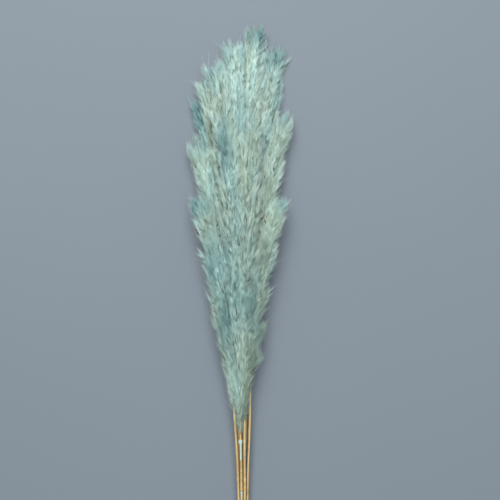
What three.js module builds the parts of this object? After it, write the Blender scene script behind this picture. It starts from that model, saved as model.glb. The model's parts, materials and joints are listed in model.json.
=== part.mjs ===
// A bundle of dyed pampas grass, as cut and dried, laid down on a flat surface.
// Twelve culms are gathered by one elastic band near their cut ends and fan out above it. Each culm runs on
// as the rachis inside its own plume. The plumes lie in four rows, and the lowest row is pressed flat.
//
// Millimetres, +Z up. The surface is Z = 0, the plumes point along +Y and the cut ends along -Y. The
// origin is on the surface, under the middle of the bundle's bounding box.
//
// Every culm and plume is a skin over sections that stand square to Y, so pieces that share a station keep
// their clearance exactly.
import * as THREE from "three";

// ---- Driving dimensions -------------------------------------------------------------------------
const LENGTH = 1150; // longest culm's cut end to the highest plume tip
const STEM_DIAMETER = 4.6; // bare culm
const RACHIS_TIP_DIAMETER = 1.6; // culm's end, inside the plume
const RACHIS_REACH = 0.86; // share of a plume's length that its rachis runs up
const STEM_GAP = 0.4; // between culms where the band packs them
const PLUME_LENGTH = 560;
const PLUME_WIDTH = 70; // across the bundle, where a plume is fullest
const PLUME_DEPTH = 54; // square to the surface
const PLUME_FULLEST = 0.5; // share of a plume's length at which it is fullest
const PLUME_BASE_POWER = 1.15; // how slender a plume stays as it starts
const PLUME_TIP_POWER = 2.4; // how blunt it ends
const PLUME_BASE_WALL = 1.6; // fluff round the culm where a plume starts
const BAND_FROM_CUT = 145;
const BAND_WIDTH = 8;
const BAND_THICKNESS = 1.4;
const BAND_GRIP = 10; // length over which the band holds the culms straight
const BARE_ABOVE_BAND = 150; // least bare culm between the band and a plume
const SPLAY_BELOW_BAND = 0.25; // how much wider the culms stand at the cut ends than in the band
const SPLAY_ABOVE_BAND = 1; // how much wider they come to stand above it
const SPLAY_REACH = 190; // how far above it they are most of the way there
const SPLAY_POWER = 1.4; // how late they start to spread
const FAN_POWER = 3.4; // how late the culms fan out above the band
const BELLY_FROM_TIP = 425; // below the highest tip, where the rows of plumes stand furthest apart
const BELLY_HEIGHT = 60; // the bundle's axis over the surface there
const BELLY_ROW_PITCH = 24; // between rows of plumes there
const LIFT_POWER = 1.5; // how late the rows part on the way there
const LEAN = 5; // how far the band lies to +X of the belly
const CLEARANCE = 0.35; // between a culm and what lies round it
const PLUME_GAP = 1.6; // between neighbouring plumes
const SCRAP_THICKNESS = 0.6; // dried leaf sheath left on a culm

// ---- The twelve culms ---------------------------------------------------------------------------
// row counts up from the surface and column from the axis, in packing pitches. across is where the tip lies
// from the bundle's axis, drop how far it lies below the highest tip, and sag how far it would hang under its
// row at the highest tip. cut is how much shorter the culm is at its cut end. long, wide and deep scale the
// plume.
const CULMS = [
  { row: 0, column: -1, across: -84, drop: 150, sag: 2, cut: 8, long: 0.94, wide: 0.95, deep: 1.15 },
  { row: 0, column: 0, across: 8, drop: 40, sag: 2, cut: 0, long: 1.08, wide: 1, deep: 1.1 },
  { row: 0, column: 1.5, across: 70, drop: 44, sag: 2, cut: 14, long: 1.02, wide: 0.92, deep: 1.1 },
  { row: 1, column: -1.5, across: -92, drop: 236, sag: 6, cut: 4, long: 0.88, wide: 0.92, deep: 0.95 },
  { row: 1, column: -0.5, across: -72, drop: 108, sag: 8, cut: 17, long: 1, wide: 0.86, deep: 0.95 },
  { row: 1, column: 0.5, across: 31, drop: 0, sag: 10, cut: 0, long: 1.02, wide: 0.96, deep: 0.95 },
  { row: 1, column: 1.5, across: 88, drop: 186, sag: 6, cut: 11, long: 0.94, wide: 0.95, deep: 0.95 },
  { row: 2, column: -1.5, across: -84, drop: 352, sag: 12, cut: 6, long: 0.76, wide: 0.8, deep: 0.9 },
  { row: 2, column: -0.5, across: -16, drop: 16, sag: 26, cut: 9, long: 1.08, wide: 0.8, deep: 0.9 },
  { row: 2, column: 0.5, across: 78, drop: 356, sag: 12, cut: 2, long: 0.72, wide: 0.78, deep: 0.9 },
  { row: 3, column: -0.5, across: -50, drop: 70, sag: 30, cut: 12, long: 1.354, wide: 0.9, deep: 0.92 },
  { row: 3, column: 0.5, across: 20, drop: 190, sag: 18, cut: 5, long: 1.08, wide: 0.9, deep: 0.92 },
];
const ROWS = Math.max(...CULMS.map((culm) => culm.row)) + 1;

// Scraps of dyed leaf sheath: on which culm, how far under its plume they start, how long they are, and half
// the arc they wrap at the top and at the bottom, in degrees.
const SCRAPS = [
  { culm: 11, under: 2, long: 40, wrapTop: 80, wrapEnd: 25 },
  { culm: 11, under: 108, long: 26, wrapTop: 32, wrapEnd: 18 },
];

// ---- Detail -------------------------------------------------------------------------------------
const STEM_SIDES = 6;
const PLUME_SIDES = 10;
const BARE_STATION_STEP = 60; // at most, between the stations of a bare culm
const STATION_STEP = 46; // between the stations that all the plumes share
const TIP_STATIONS = [0.1, 0.04, 0.01]; // a plume's own stations, as shares of its length below its tip
const HULL_SIDES = 24;
const SCRAP_STATIONS = 5;
const SCRAP_ARC_STEPS = 6;

// ---- Colours ------------------------------------------------------------------------------------
const MINT = "#b4d0c6";
const AQUA = "#93bcbc";
const SAGE = "#a5b9a6";
const STRAW = "#c2a56c";
const LATEX = "#c9a877";

// ---- The bundle's lines -------------------------------------------------------------------------
const CUT_Y = -LENGTH / 2;
const BAND_Y = CUT_Y + BAND_FROM_CUT;
const GRIP_START = BAND_Y - BAND_GRIP / 2;
const GRIP_END = BAND_Y + BAND_GRIP / 2;
const BELLY_Y = CUT_Y + LENGTH - BELLY_FROM_TIP;
const STEM_RADIUS = STEM_DIAMETER / 2;
const PITCH = STEM_DIAMETER + STEM_GAP;
const MIDDLE_ROW = (ROWS - 1) / 2;
const REST_HEIGHT = STEM_RADIUS + MIDDLE_ROW * PITCH * (1 + SPLAY_BELOW_BAND);

const clamp = (value, low, high) => Math.min(Math.max(value, low), high);
const rangeOf = (count) => Array.from({ length: count }, (_, i) => i);

/** The bundle's middle line over the surface: it rises from the cut ends, levels at the belly and droops. */
function axisHeight(y) {
  const share = (y - CUT_Y) / (BELLY_Y - CUT_Y);
  return REST_HEIGHT + (BELLY_HEIGHT - REST_HEIGHT) * Math.sin((Math.PI / 2) * share);
}

/** A culm's own ends: where it is cut, where its plume starts and tips, and where its rachis ends. */
function endsOf(culm) {
  const tip = CUT_Y + LENGTH - culm.drop;
  const length = Math.min(PLUME_LENGTH * culm.long, tip - BAND_Y - BARE_ABOVE_BAND);
  return {
    cut: CUT_Y + culm.cut,
    base: tip - length,
    tip,
    length,
    rachisEnd: tip - length * (1 - RACHIS_REACH),
  };
}

/** How much wider than in the band the culms stand at a station, before they fan out. */
function splayAt(y) {
  const below = (SPLAY_BELOW_BAND * Math.max(GRIP_START - y, 0)) / BAND_FROM_CUT;
  const above = SPLAY_ABOVE_BAND * Math.tanh((Math.max(y - GRIP_END, 0) / SPLAY_REACH) ** SPLAY_POWER);
  return 1 + below + above;
}

/** The culm's centre at a station, as a point in the section. */
function centreOf(culm, y) {
  const { tip } = endsOf(culm);
  const row = culm.row - MIDDLE_ROW;
  const fan = clamp((y - GRIP_END) / (tip - GRIP_END), 0, 1) ** FAN_POWER;
  const lift = clamp((y - GRIP_END) / (BELLY_Y - GRIP_END), 0, 1) ** LIFT_POWER;
  const droop = (Math.max(y - BELLY_Y, 0) / BELLY_FROM_TIP) ** 2;
  const rowPitch = THREE.MathUtils.lerp(PITCH * splayAt(y), BELLY_ROW_PITCH, lift);
  const lean = (LEAN * Math.max(BELLY_Y - y, 0)) / (BELLY_Y - BAND_Y);
  return new THREE.Vector2(
    THREE.MathUtils.lerp(culm.column * PITCH * splayAt(y), culm.across, fan) + lean,
    axisHeight(y) + row * rowPitch - culm.sag * droop,
  );
}

/** The culm's radius at a station: even up to the plume, then tapering as its rachis. */
function stemRadiusOf(culm, y) {
  const { base, rachisEnd } = endsOf(culm);
  const share = clamp((y - base) / (rachisEnd - base), 0, 1);
  return THREE.MathUtils.lerp(STEM_RADIUS, RACHIS_TIP_DIAMETER / 2, share);
}

/** How full a plume is at a share of its length: 0 at its ends and 1 where it is fullest. */
function fullness(share) {
  if (share < PLUME_FULLEST) return Math.sin((Math.PI / 2) * (share / PLUME_FULLEST)) ** PLUME_BASE_POWER;
  return Math.sqrt(1 - ((share - PLUME_FULLEST) / (1 - PLUME_FULLEST)) ** PLUME_TIP_POWER);
}

/** Half the plume's width and depth at a station, before its neighbours press on it. */
function halfSizeOf(culm, y) {
  const { base, length } = endsOf(culm);
  const full = fullness((y - base) / length);
  const least = y < base + length * PLUME_FULLEST ? stemRadiusOf(culm, y) + PLUME_BASE_WALL : 0;
  return new THREE.Vector2(
    Math.max((PLUME_WIDTH / 2) * culm.wide * full, least),
    Math.max((PLUME_DEPTH / 2) * culm.deep * full, least),
  );
}

/** The distance from the middle of an ellipse to its rim along a unit direction. */
const rimOf = (half, direction) => 1 / Math.hypot(direction.x / half.x, direction.y / half.y);

/**
 * The lines that hold a plume in at a station: each is a unit direction and how far the plume may reach. A
 * neighbour is kept clear of as if it stayed full up to its tip and past it, as far as the next station.
 */
function limitsOf(culm, y) {
  const centre = centreOf(culm, y);
  const half = halfSizeOf(culm, y);
  const keep = STEM_RADIUS + PLUME_BASE_WALL + PLUME_GAP / 2;
  const limits = [{ direction: new THREE.Vector2(0, -1), reach: centre.y }];
  for (const other of CULMS) {
    const { cut, base, tip, length } = endsOf(other);
    if (other === culm || y < cut || y > tip + STATION_STEP) continue;
    const apart = centreOf(other, y).sub(centre);
    const distance = apart.length();
    const direction = apart.divideScalar(distance);
    const mine = rimOf(half, direction);
    const full = Math.min(y, tip - TIP_STATIONS[0] * length);
    const theirs = y < base ? 0 : rimOf(halfSizeOf(other, full), direction);
    const least = Math.min(keep, distance / 2);
    const split = clamp((distance * mine) / (mine + theirs), least, distance - least);
    limits.push({ direction, reach: split - PLUME_GAP / 2 });
  }
  return limits;
}

// ---- Skins --------------------------------------------------------------------------------------
/** A ring of points square to Y, from a reach for each direction round its centre. */
function ring(centre, y, sides, reachAt) {
  return rangeOf(sides).map((i) => {
    const angle = Math.PI / 2 + (2 * Math.PI * i) / sides;
    const direction = new THREE.Vector2(Math.cos(angle), Math.sin(angle));
    const reach = reachAt(direction);
    return new THREE.Vector3(centre.x + direction.x * reach, y, centre.y + direction.y * reach);
  });
}

/** The middle of a ring of points. */
function middleOf(points) {
  return points.reduce((sum, p) => sum.add(p), new THREE.Vector3()).divideScalar(points.length);
}

/** A closed surface over rings of as many points each, with a fan in the first ring and one to the end. */
function skin(rings, end = middleOf(rings.at(-1))) {
  const sides = rings[0].length;
  const points = [...rings.flat(), middleOf(rings[0]), end];
  const first = points.length - 2;
  const last = points.length - 1;
  const faces = [];
  for (const k of rangeOf(sides)) {
    const next = (k + 1) % sides;
    faces.push(first, k, next, last, (rings.length - 1) * sides + next, (rings.length - 1) * sides + k);
    for (const r of rangeOf(rings.length - 1)) {
      const here = r * sides;
      const there = here + sides;
      faces.push(here + k, there + k, here + next, here + next, there + k, there + next);
    }
  }
  const geometry = new THREE.BufferGeometry().setFromPoints(points);
  geometry.setIndex(faces);
  geometry.computeVertexNormals();
  return geometry;
}

/** The stations along a plume, base to tip: those that all plumes share, with the plume's own at its ends. */
function plumeStations(culm) {
  const { base, tip, length } = endsOf(culm);
  const own = TIP_STATIONS.map((share) => tip - share * length);
  const room = STATION_STEP / 4;
  const shared = rangeOf(Math.ceil(LENGTH / STATION_STEP)).map((i) => CUT_Y + i * STATION_STEP);
  return [base, ...shared.filter((y) => y > base + room && y < own[0] - room), ...own];
}

/** A culm: bare from its cut end to the plume, then the rachis at the plume's own stations. */
function stemGeometry(culm) {
  const { cut, base, rachisEnd } = endsOf(culm);
  const spans = Math.ceil((base - GRIP_END) / BARE_STATION_STEP);
  const bare = [cut, GRIP_START, ...rangeOf(spans).map((i) => GRIP_END + ((base - GRIP_END) * i) / spans)];
  const inside = plumeStations(culm).filter((y) => y < rachisEnd - CLEARANCE);
  const round = (y) => ring(centreOf(culm, y), y, STEM_SIDES, () => stemRadiusOf(culm, y));
  return skin([...bare, ...inside, rachisEnd].map(round));
}

/** A plume: its outer form, pressed on by its neighbours and the surface, with a blind bore. */
function plumeGeometry(culm) {
  const { rachisEnd, tip } = endsOf(culm);
  const corner = Math.cos(Math.PI / PLUME_SIDES);
  const boreRadius = (y) => (stemRadiusOf(culm, y) + CLEARANCE) / corner;
  const bore = (y) => ring(centreOf(culm, y), y, PLUME_SIDES, () => boreRadius(y));
  const outer = (y) => {
    const half = halfSizeOf(culm, y);
    const limits = limitsOf(culm, y);
    return ring(centreOf(culm, y), y, PLUME_SIDES, (direction) =>
      limits.reduce((reach, limit) => {
        const facing = direction.dot(limit.direction);
        return facing > 0 ? Math.min(reach, limit.reach / facing) : reach;
      }, rimOf(half, direction)),
    );
  };
  const stations = plumeStations(culm);
  const boreEnd = rachisEnd + CLEARANCE;
  const inside = stations.filter((y) => y < rachisEnd - CLEARANCE);
  const top = centreOf(culm, tip);
  const rings = [...[...inside, rachisEnd, boreEnd].reverse().map(bore), ...stations.map(outer)];
  return skin(rings, new THREE.Vector3(top.x, tip, top.y));
}

// ---- The band -----------------------------------------------------------------------------------
/** The outline of a cord pulled tight round points: Andrew's monotone chain. */
function hullOf(points) {
  const sorted = [...points].sort((a, b) => a.x - b.x || a.y - b.y);
  const half = (list) => {
    const chain = [];
    for (const p of list) {
      while (chain.length > 1) {
        const [a, b] = chain.slice(-2);
        if ((b.x - a.x) * (p.y - a.y) - (b.y - a.y) * (p.x - a.x) > 0) break;
        chain.pop();
      }
      chain.push(p);
    }
    return chain.slice(0, -1);
  };
  return [...half(sorted), ...half(sorted.reverse())];
}

/** The elastic band: the packed culms' outline, drawn out along them by the band's width. */
function bandMesh() {
  const middle = new THREE.Vector2(0, axisHeight(BAND_Y));
  const centres = CULMS.map((culm) => centreOf(culm, BAND_Y).sub(middle));
  const outline = (offset) =>
    hullOf(
      centres.flatMap((centre) =>
        rangeOf(HULL_SIDES).map((i) => {
          const angle = (2 * Math.PI * i) / HULL_SIDES;
          return new THREE.Vector2(Math.cos(angle), Math.sin(angle)).multiplyScalar(offset).add(centre);
        }),
      ),
    );
  const shape = new THREE.Shape(outline(STEM_RADIUS + CLEARANCE + BAND_THICKNESS));
  shape.holes.push(new THREE.Path(outline(STEM_RADIUS + CLEARANCE)));
  const geometry = new THREE.ExtrudeGeometry(shape, { depth: BAND_WIDTH, bevelEnabled: false });
  geometry.translate(0, 0, -BAND_WIDTH / 2);
  const mesh = part("elastic_band", geometry, LATEX, 0.6);
  const rise = Math.atan(axisHeight(BAND_Y + 1) - axisHeight(BAND_Y));
  mesh.rotation.x = Math.PI / 2 + rise;
  mesh.position.set(0, BAND_Y, middle.y);
  return mesh;
}

// ---- Leaf sheath --------------------------------------------------------------------------------
/** A scrap of leaf sheath: a thin arc over the top of its culm that narrows downwards. */
function scrapGeometry(scrap) {
  const culm = CULMS[scrap.culm - 1];
  const section = (share) => {
    const y = endsOf(culm).base - scrap.under - scrap.long * (1 - share);
    const centre = centreOf(culm, y);
    const wrap = THREE.MathUtils.degToRad(THREE.MathUtils.lerp(scrap.wrapEnd, scrap.wrapTop, share ** 5));
    const arc = (radius, from, to) =>
      rangeOf(SCRAP_ARC_STEPS + 1).map((i) => {
        const angle = Math.PI / 2 + THREE.MathUtils.lerp(from, to, i / SCRAP_ARC_STEPS);
        return new THREE.Vector3(centre.x + radius * Math.cos(angle), y, centre.y + radius * Math.sin(angle));
      });
    const inner = STEM_RADIUS + CLEARANCE;
    return [...arc(inner + SCRAP_THICKNESS, -wrap, wrap), ...arc(inner, wrap, -wrap)];
  };
  return skin(rangeOf(SCRAP_STATIONS).map((i) => section(i / (SCRAP_STATIONS - 1))));
}

// ---- Assembly -----------------------------------------------------------------------------------
function part(name, geometry, color, roughness) {
  const mesh = new THREE.Mesh(geometry, new THREE.MeshStandardMaterial({ color, roughness, metalness: 0 }));
  mesh.name = name;
  return mesh;
}

const bundle = new THREE.Group();
const dyes = [AQUA, AQUA, MINT, MINT, SAGE, MINT, SAGE, MINT, AQUA, SAGE, MINT, SAGE];
CULMS.forEach((culm, i) => {
  const number = String(i + 1).padStart(2, "0");
  bundle.add(part(`stem_${number}`, stemGeometry(culm), STRAW, 0.55));
  bundle.add(part(`plume_${number}`, plumeGeometry(culm), dyes[i], 0.95));
});
SCRAPS.forEach((scrap, i) => bundle.add(part(`sheath_scrap_${i + 1}`, scrapGeometry(scrap), MINT, 0.8)));
bundle.add(bandMesh());

// The origin goes under the middle of the bounding box.
bundle.updateMatrixWorld(true);
const bounds = new THREE.Box3().setFromObject(bundle, true);
const middle = bounds.getCenter(new THREE.Vector3());
bundle.position.set(-middle.x, -middle.y, -bounds.min.z);

const pampas = new THREE.Group();
pampas.add(bundle);
export default pampas;
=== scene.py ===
"""A bundle of dyed pampas grass, as cut and dried, lying on a plain pale surface.

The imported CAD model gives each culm's line and each plume's outer form. Every piece here is built around
them: round culms with joints and pith, plumes of branches and hairs, scraps of leaf sheath and a wound band.
"""

import json
import logging
import math
from collections.abc import Sequence
from dataclasses import dataclass, field
from enum import Enum

import bmesh
import bpy
import numpy as np
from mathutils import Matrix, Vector


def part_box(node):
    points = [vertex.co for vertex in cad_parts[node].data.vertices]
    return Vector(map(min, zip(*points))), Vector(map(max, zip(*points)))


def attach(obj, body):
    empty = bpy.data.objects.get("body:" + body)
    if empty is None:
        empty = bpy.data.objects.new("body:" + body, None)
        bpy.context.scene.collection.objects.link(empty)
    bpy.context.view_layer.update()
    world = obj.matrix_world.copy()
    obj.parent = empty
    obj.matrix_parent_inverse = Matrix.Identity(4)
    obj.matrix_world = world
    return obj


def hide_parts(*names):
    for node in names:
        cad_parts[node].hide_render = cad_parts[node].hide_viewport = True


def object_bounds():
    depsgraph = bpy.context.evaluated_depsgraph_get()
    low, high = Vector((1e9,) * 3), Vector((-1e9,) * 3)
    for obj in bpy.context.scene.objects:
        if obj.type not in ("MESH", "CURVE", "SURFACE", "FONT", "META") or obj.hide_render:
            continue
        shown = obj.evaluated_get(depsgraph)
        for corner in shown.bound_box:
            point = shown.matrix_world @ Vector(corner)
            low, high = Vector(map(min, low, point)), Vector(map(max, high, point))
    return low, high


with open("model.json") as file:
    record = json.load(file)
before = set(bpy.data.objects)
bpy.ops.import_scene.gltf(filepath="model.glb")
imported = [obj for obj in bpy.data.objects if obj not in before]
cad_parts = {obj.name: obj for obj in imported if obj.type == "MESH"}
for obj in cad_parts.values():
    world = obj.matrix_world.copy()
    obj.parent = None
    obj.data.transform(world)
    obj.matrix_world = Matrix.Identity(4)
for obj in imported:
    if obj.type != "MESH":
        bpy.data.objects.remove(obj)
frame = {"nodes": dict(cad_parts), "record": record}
CAD_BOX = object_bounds()

LOG = logging.getLogger("pampas")
MM = 0.001
BODY = "root"
FLUFF_MAP = "OFBake"  # a hair's own map: its dye across, and along it from painted shade at the root to a painted highlight at the tip
STATION_DIGITS = 4  # decimals of a metre to which the CAD rings' stations are told apart
RING_GAP = 0.2 * MM  # how far a ring's points may stand from its station
GOLDEN_ANGLE = math.pi * (3 - math.sqrt(5))


# ---- Shared helpers ---------------------------------------------------------------------------------------
def linear(hex_colour: str) -> tuple[float, float, float, float]:
    """Turns an sRGB hex colour into the linear one that a shader takes.

    Args:
        hex_colour: Six hex digits after a hash.

    Returns:
        Red, green, blue and alpha, linear.
    """
    parts = [int(hex_colour[i : i + 2], 16) / 255 for i in (1, 3, 5)]
    turned = [c / 12.92 if c <= 0.04045 else ((c + 0.055) / 1.055) ** 2.4 for c in parts]
    return (*turned, 1.0)


def set_inputs(node: bpy.types.Node, **inputs: object) -> None:
    """Links a node's inputs, or sets their values.

    Args:
        node: The node.
        **inputs: Input sockets by name, with _ for a space or by number as in_0, each a socket or a value.
    """
    for key, value in inputs.items():
        socket = node.inputs[int(key[3:]) if key.startswith("in_") else key.replace("_", " ")]
        if isinstance(value, bpy.types.NodeSocket):
            node.id_data.links.new(value, socket)
        else:
            socket.default_value = value


def add_node(
    tree: bpy.types.NodeTree, kind: str, settings: dict | None = None, **inputs: object
) -> bpy.types.Node:
    """Adds a node with its settings and inputs.

    Args:
        tree: The material's node tree.
        kind: The node's type name.
        settings: The node's own properties.
        **inputs: Its inputs, as set_inputs takes them.

    Returns:
        The new node.
    """
    node = tree.nodes.new(kind)
    for key, value in (settings or {}).items():
        setattr(node, key, value)
    set_inputs(node, **inputs)
    return node


def set_ramp(node: bpy.types.Node, stops: Sequence[tuple[float, str]]) -> None:
    """Gives a colour ramp its stops.

    Args:
        node: The ramp.
        stops: Each stop's place and sRGB hex colour, in order.
    """
    elements = node.color_ramp.elements
    while len(elements) < len(stops):
        elements.new(0.5)
    for element, (place, colour) in zip(elements, stops):
        element.position = place
        element.color = linear(colour)


def new_material(name: str) -> tuple[bpy.types.Material, bpy.types.NodeTree, bpy.types.Node]:
    """Makes a material with a Principled shader on its output.

    Args:
        name: The finish's name.

    Returns:
        The material, its node tree and the shader.
    """
    material = bpy.data.materials.new(name)
    material.use_nodes = True
    tree = material.node_tree
    return material, tree, tree.nodes["Principled BSDF"]


def mesh_object(name: str, points: np.ndarray, faces: np.ndarray, maps: np.ndarray) -> bpy.types.Object:
    """Makes an object from triangles, smooth and with its own map.

    Args:
        name: The piece's name.
        points: Vertices, in metres.
        faces: Vertex numbers, three to a row.
        maps: A place on the fluff map for each corner of each face.

    Returns:
        The object, linked to the scene.
    """
    mesh = bpy.data.meshes.new(name)
    mesh.vertices.add(len(points))
    mesh.vertices.foreach_set("co", points.astype(np.float32).ravel())
    mesh.loops.add(faces.size)
    mesh.loops.foreach_set("vertex_index", faces.astype(np.int32).ravel())
    mesh.polygons.add(len(faces))
    mesh.polygons.foreach_set("loop_start", np.arange(0, faces.size, 3, dtype=np.int32))
    mesh.polygons.foreach_set("use_smooth", np.ones(len(faces), dtype=bool))
    mesh.uv_layers.new(name=FLUFF_MAP).data.foreach_set("uv", maps.astype(np.float32).ravel())
    mesh.update()
    mesh.validate()
    obj = bpy.data.objects.new(name, mesh)
    bpy.context.scene.collection.objects.link(obj)
    return obj


def deselect_all() -> None:
    """Leaves object mode with nothing selected."""
    if bpy.context.object and bpy.context.object.mode != "OBJECT":
        bpy.ops.object.mode_set(mode="OBJECT")
    bpy.ops.object.select_all(action="DESELECT")


def take_up(obj: bpy.types.Object) -> None:
    """Makes one object the selected and active one.

    Args:
        obj: The object that the next operators work on.
    """
    deselect_all()
    obj.select_set(True)
    bpy.context.view_layer.objects.active = obj


def swept(
    name: str, points: np.ndarray, radius: float, fineness: int, shares: np.ndarray | None = None
) -> bpy.types.Object:
    """Sweeps a round along points and makes it a mesh: an open line with closed ends, or a smooth ring.

    Args:
        name: The piece's name.
        points: The line's points.
        radius: The round's radius.
        fineness: How finely the round is divided.
        shares: The share of the radius at each point of an open line, or None for a ring.

    Returns:
        The swept piece.
    """
    deselect_all()
    bpy.ops.curve.primitive_nurbs_path_add()
    curve = bpy.context.object
    curve.name = curve.data.name = name
    curve.data.splines.clear()
    spline = curve.data.splines.new("NURBS" if shares is None else "POLY")
    spline.points.add(len(points) - 1)
    spline.points.foreach_set("co", np.column_stack([points, np.ones(len(points))]).ravel())
    if shares is None:
        spline.use_cyclic_u = True
        spline.order_u = spline.resolution_u = 3  # a close, lightly rounded run through the points
    else:
        spline.points.foreach_set("radius", shares)
        curve.data.use_fill_caps = True
    curve.data.dimensions = "3D"
    curve.data.bevel_depth = radius
    curve.data.bevel_resolution = fineness
    take_up(curve)
    bpy.ops.object.convert(target="MESH")
    return bpy.context.object


def vertices_of(mesh: bpy.types.Mesh) -> np.ndarray:
    """Gives a mesh's vertices.

    Args:
        mesh: The mesh.

    Returns:
        X, Y and Z of each vertex, one to a row.
    """
    points = np.empty(len(mesh.vertices) * 3)
    mesh.vertices.foreach_get("co", points)
    return points.reshape(-1, 3)


def unit(vectors: np.ndarray) -> np.ndarray:
    """Scales the vectors along the last axis to a length of one."""
    return vectors / np.maximum(np.linalg.norm(vectors, axis=-1, keepdims=True), 1e-12)


def rise(values: np.ndarray, start: float, end: float) -> np.ndarray:
    """Goes evenly from 0 at the start to 1 at the end, which may lie below it, and stays there past it."""
    return np.clip((values - start) / (end - start), 0, 1)


def bell(values: np.ndarray, middle: float | np.ndarray, half: float) -> np.ndarray:
    """Is 1 in the middle and fades away on both sides over about the half width."""
    return np.exp(-(((values - middle) / half) ** 2))


def between(stations: np.ndarray, y: np.ndarray) -> tuple[np.ndarray, np.ndarray]:
    """Finds places among rising stations.

    Args:
        stations: The stations.
        y: The places.

    Returns:
        The number of the station before each place, and the share of the way to the next one.
    """
    before = np.clip(np.searchsorted(stations, y) - 1, 0, len(stations) - 2)
    share = (y - stations[before]) / (stations[before + 1] - stations[before])
    return before, np.clip(share, 0, 1)


def finish_piece(obj: bpy.types.Object, materials: list[bpy.types.Material], slot: str, *nodes: str) -> None:
    """Dresses a piece, lets it ride on the bundle and stand for its CAD nodes.

    Args:
        obj: The piece.
        materials: Its materials, in slot order.
        slot: The record's material slot; not used.
        *nodes: The CAD nodes that it stands for.
    """
    obj.data.materials.clear()
    for material in materials:
        obj.data.materials.append(material)
    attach(obj, BODY)
    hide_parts(*nodes)
    LOG.info("%s: %d faces", obj.name, len(obj.data.polygons))


@dataclass(frozen=True)
class Unevenness:
    """A smooth unevenness over the bundle, long along the culms: where the dye took more and where less.

    Args:
        start: Where its waves start, which sets it apart from another.
    """

    start: float
    across: float = 7 * MM
    through: float = 11 * MM
    along: float = 31 * MM
    bend_across: float = 13 * MM  # the waves bend over these lengths, so that they never look ruled
    bend_along: float = 52 * MM
    sway: float = 2.3
    surge: float = 1.7
    through_start: float = 2.1
    along_start: float = 3.1
    along_weight: float = 1.2

    def at(self, points: np.ndarray) -> np.ndarray:
        """Gives the unevenness at points.

        Args:
            points: Points in metres, one to a row.

        Returns:
            A value from -1 to 1 at each point.
        """
        x, y, z = points.T
        sway = self.sway * np.sin(y / self.bend_along + self.start)
        surge = self.surge * np.sin(x / self.bend_across + self.start)
        across = np.sin(x / self.across + sway + self.start)
        through = np.sin(z / self.through + self.through_start * self.start)
        along = np.sin(y / self.along + surge + self.along_start * self.start)
        return (across + through + self.along_weight * along) / (2 + self.along_weight)


# ---- The frame's lines ------------------------------------------------------------------------------------
def node_points(node: str) -> np.ndarray:
    """Gives the vertices of a CAD node, each once."""
    return np.unique(vertices_of(frame["nodes"][node].data).round(6), axis=0)


@dataclass(frozen=True)
class Line:
    """A smooth line along the bundle, through centres at stations of Y.

    Args:
        stations: Y of each centre, rising.
        centres: X and Z of each centre.
        radii: The culm's radius at each.
    """

    stations: np.ndarray
    centres: np.ndarray
    radii: np.ndarray

    @classmethod
    def of_culm(cls, node: str) -> "Line":
        """Reads a culm's line from the rings of its CAD node.

        Args:
            node: The culm's node.

        Returns:
            The line from the cut end to the rachis's end.
        """
        points = node_points(node)
        stations = np.unique(points[:, 1].round(STATION_DIGITS))
        rings = [points[np.abs(points[:, 1] - y) < RING_GAP] for y in stations]
        # Fewer points than a ring's are the tip's or a cap's middle, and tell nothing of the round.
        stations = np.array([y for y, ring in zip(stations, rings) if len(ring) > 3])
        rings = [ring for ring in rings if len(ring) > 3]
        centres = np.array([(ring.max(0) + ring.min(0))[[0, 2]] / 2 for ring in rings])
        radii = np.array([np.ptp(ring[:, 2]) / 2 for ring in rings])
        return cls(stations, centres, radii)

    def extended(self, end: np.ndarray) -> "Line":
        """Carries the line on to a point past its end.

        Args:
            end: The point.

        Returns:
            The longer line.
        """
        return Line(
            np.append(self.stations, end[1]),
            np.vstack([self.centres, end[[0, 2]]]),
            np.append(self.radii, self.radii[-1] / 2),
        )

    def at(self, y: np.ndarray) -> np.ndarray:
        """Gives the line's points at stations, by cubic curves from centre to centre.

        Args:
            y: The stations, of any shape.

        Returns:
            Points, with X, Y and Z along the last axis.
        """
        slopes = np.gradient(self.centres, self.stations, axis=0)
        i, t = between(self.stations, y)
        span, t = (self.stations[i + 1] - self.stations[i])[..., None], t[..., None]
        a, b = self.centres[i], self.centres[i + 1]
        start = (1 + 2 * t) * (1 - t) ** 2 * a + t * (1 - t) ** 2 * span * slopes[i]
        stop = t**2 * (3 - 2 * t) * b + t**2 * (t - 1) * span * slopes[i + 1]
        xz = start + stop
        return np.stack([xz[..., 0], y + 0 * xz[..., 0], xz[..., 1]], axis=-1)


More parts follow.
